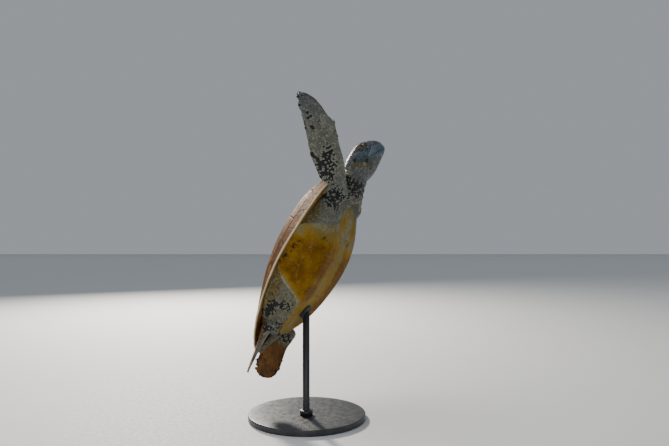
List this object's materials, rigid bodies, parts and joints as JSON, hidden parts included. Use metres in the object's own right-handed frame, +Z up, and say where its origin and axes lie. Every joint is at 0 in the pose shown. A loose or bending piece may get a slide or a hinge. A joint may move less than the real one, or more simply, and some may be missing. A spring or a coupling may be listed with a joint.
{
  "type": "loggerhead turtle display model",
  "caption": "Life-size loggerhead turtle swimming head-up and banked, front flippers raised, held by one rod on a round display base.",
  "frame": {"origin": "centre of the stand base's underside", "axes": "+Z up, +X to the turtle's heading, which is also the way the neck leans, +Y to the turtle's left"},
  "size_m": [0.558, 0.9362, 1.2631],
  "materials": {
    "carapace_shell": "satin reddish-brown horn plates with paler seams",
    "plastron_shell": "satin cream to amber-yellow horn plates",
    "skin": "scaly olive-cream skin with dark patches, darker brown above",
    "beak_horn": "satin horn",
    "eye": "wet gloss",
    "claw_horn": "satin horn",
    "stand_steel": "dark satin powder coat"
  },
  "bodies": {
    "root": {"carapace": "carapace_shell", "plastron": "plastron_shell", "trunk": "skin", "neck": "skin", "head": "skin", "flipper_front_right": "skin", "flipper_front_left": "skin", "flipper_hind_right": "skin", "flipper_hind_left": "skin", "tail": "skin", "beak_upper": "beak_horn", "beak_lower": "beak_horn", "eye_left": "eye", "eye_right": "eye", "claw_front_left_1": "claw_horn", "claw_front_left_2": "claw_horn", "claw_front_right_1": "claw_horn", "claw_front_right_2": "claw_horn", "claw_hind_left_1": "claw_horn", "claw_hind_left_2": "claw_horn", "claw_hind_right_1": "claw_horn", "claw_hind_right_2": "claw_horn", "stand_base": "stand_steel", "stand_rod": "stand_steel", "stand_pad": "stand_steel"}
  },
  "joints": []
}
